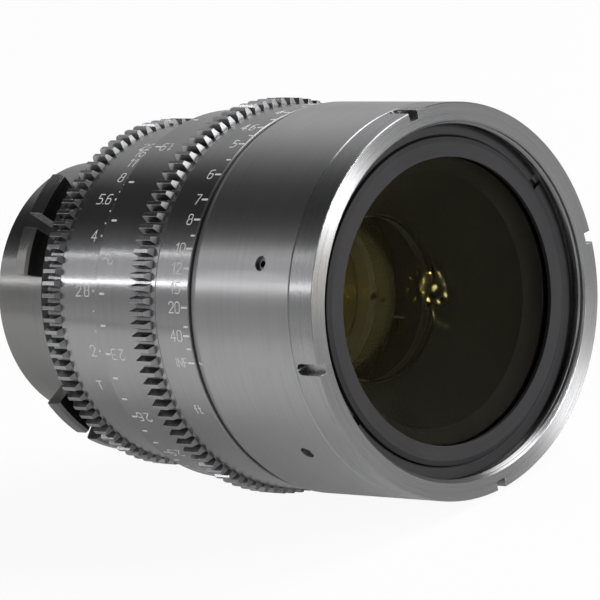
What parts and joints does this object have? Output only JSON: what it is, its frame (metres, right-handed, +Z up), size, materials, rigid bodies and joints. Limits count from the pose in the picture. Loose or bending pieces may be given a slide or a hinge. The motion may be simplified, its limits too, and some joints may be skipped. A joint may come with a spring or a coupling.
{
  "type": "cinema prime lens",
  "caption": "Cinema prime lens with geared focus and iris rings, a bladed iris, a sliding focus group on a cam sleeve and a slotted four-lug breech mount.",
  "frame": {"origin": "centre of the mount's flange seat, on the optical axis", "axes": "+Y along the optical axis towards the camera, so the front glass faces -Y; +Z up in use, with the index marks at -X and +X"},
  "size_m": [0.0816, 0.1113, 0.0816],
  "materials": {
    "satin_grey": "satin, fine turned grain, neutral grey",
    "turned_grey": "turned face with visible tool grain",
    "mount_steel": "fine ground",
    "barrel_grey": "dark anodised",
    "black_metal": "matte black anodised",
    "coated_glass": "polished, coated with a yellow-green reflection",
    "bearing_brass": "machined",
    "screw_steel": "blackened",
    "cam_metal": "dark anodised",
    "blade_steel": "matte blackened"
  },
  "bodies": {
    "body": {"mount": "mount_steel", "mount_shim": "bearing_brass", "mount_screws": "screw_steel", "main_barrel": "barrel_grey", "index_ring": "satin_grey", "front_barrel": "satin_grey", "barrel_set_screws": "screw_steel", "front_ring": "turned_grey", "front_retaining_ring": "black_metal", "front_cell": "black_metal", "front_element": "coated_glass", "front_element_retainer": "black_metal", "second_element": "coated_glass", "second_element_retainer": "black_metal", "iris_base": "black_metal", "iris_cover": "black_metal", "rear_cell": "black_metal", "rear_front_element": "coated_glass", "rear_spacer": "black_metal", "rear_element": "coated_glass", "rear_retainer": "black_metal", "rear_baffle": "black_metal"},
    "focus_ring": {"focus_ring": "satin_grey", "focus_scale_ring": "satin_grey", "cam_sleeve": "bearing_brass", "focus_screws": "screw_steel"},
    "focus_group": {"focus_cell": "black_metal", "focus_front_element": "coated_glass", "focus_front_retainer": "black_metal", "focus_rear_element": "coated_glass", "focus_rear_retainer": "black_metal", "follower_studs": "screw_steel", "follower_rollers": "bearing_brass"},
    "iris_ring": {"iris_ring": "satin_grey", "iris_drive_pin": "screw_steel", "iris_actuator": "cam_metal"},
    "iris_blade_1": {"iris_blade_1": "blade_steel"},
    "iris_blade_2": {"iris_blade_2": "blade_steel"},
    "iris_blade_3": {"iris_blade_3": "blade_steel"},
    "iris_blade_4": {"iris_blade_4": "blade_steel"},
    "iris_blade_5": {"iris_blade_5": "blade_steel"},
    "iris_blade_6": {"iris_blade_6": "blade_steel"},
    "iris_blade_7": {"iris_blade_7": "blade_steel"},
    "iris_blade_8": {"iris_blade_8": "blade_steel"},
    "iris_blade_9": {"iris_blade_9": "blade_steel"}
  },
  "joints": [
    {"name": "focus_turn", "type": "hinge", "parent": "body", "child": "focus_ring", "pos_m": [0, -0.046, 0], "axis": [0, -1, 0], "range_deg": [0, 272]},
    {"name": "focus_slide", "type": "slide", "parent": "body", "child": "focus_group", "axis": [0, -1, 0], "range_m": [0, 0.01021]},
    {"name": "iris_turn", "type": "hinge", "parent": "body", "child": "iris_ring", "pos_m": [0, -0.02, 0], "axis": [0, -1, 0], "range_deg": [0, 78]},
    {"name": "blade_1_turn", "type": "hinge", "parent": "body", "child": "iris_blade_1", "pos_m": [0.0245, -0.0167, 0], "axis": [0, -1, 0], "range_deg": [0, 25.21]},
    {"name": "blade_2_turn", "type": "hinge", "parent": "body", "child": "iris_blade_2", "pos_m": [0.01877, -0.0167, 0.01575], "axis": [0, -1, 0], "range_deg": [0, 25.21]},
    {"name": "blade_3_turn", "type": "hinge", "parent": "body", "child": "iris_blade_3", "pos_m": [0.00425, -0.0167, 0.02413], "axis": [0, -1, 0], "range_deg": [0, 25.21]},
    {"name": "blade_4_turn", "type": "hinge", "parent": "body", "child": "iris_blade_4", "pos_m": [-0.01225, -0.0167, 0.02122], "axis": [0, -1, 0], "range_deg": [0, 25.21]},
    {"name": "blade_5_turn", "type": "hinge", "parent": "body", "child": "iris_blade_5", "pos_m": [-0.02302, -0.0167, 0.00838], "axis": [0, -1, 0], "range_deg": [0, 25.21]},
    {"name": "blade_6_turn", "type": "hinge", "parent": "body", "child": "iris_blade_6", "pos_m": [-0.02302, -0.0167, -0.00838], "axis": [0, -1, 0], "range_deg": [0, 25.21]},
    {"name": "blade_7_turn", "type": "hinge", "parent": "body", "child": "iris_blade_7", "pos_m": [-0.01225, -0.0167, -0.02122], "axis": [0, -1, 0], "range_deg": [0, 25.21]},
    {"name": "blade_8_turn", "type": "hinge", "parent": "body", "child": "iris_blade_8", "pos_m": [0.00425, -0.0167, -0.02413], "axis": [0, -1, 0], "range_deg": [0, 25.21]},
    {"name": "blade_9_turn", "type": "hinge", "parent": "body", "child": "iris_blade_9", "pos_m": [0.01877, -0.0167, -0.01575], "axis": [0, -1, 0], "range_deg": [0, 25.21]}
  ],
  "couplings": [
    {"joint": "focus_slide", "follows": "focus_turn", "m_per_rad": 0.0021486},
    {"joint": "blade_1_turn", "follows": "iris_turn", "ratio": 0.32308},
    {"joint": "blade_2_turn", "follows": "iris_turn", "ratio": 0.32308},
    {"joint": "blade_3_turn", "follows": "iris_turn", "ratio": 0.32308},
    {"joint": "blade_4_turn", "follows": "iris_turn", "ratio": 0.32308},
    {"joint": "blade_5_turn", "follows": "iris_turn", "ratio": 0.32308},
    {"joint": "blade_6_turn", "follows": "iris_turn", "ratio": 0.32308},
    {"joint": "blade_7_turn", "follows": "iris_turn", "ratio": 0.32308},
    {"joint": "blade_8_turn", "follows": "iris_turn", "ratio": 0.32308},
    {"joint": "blade_9_turn", "follows": "iris_turn", "ratio": 0.32308}
  ]
}
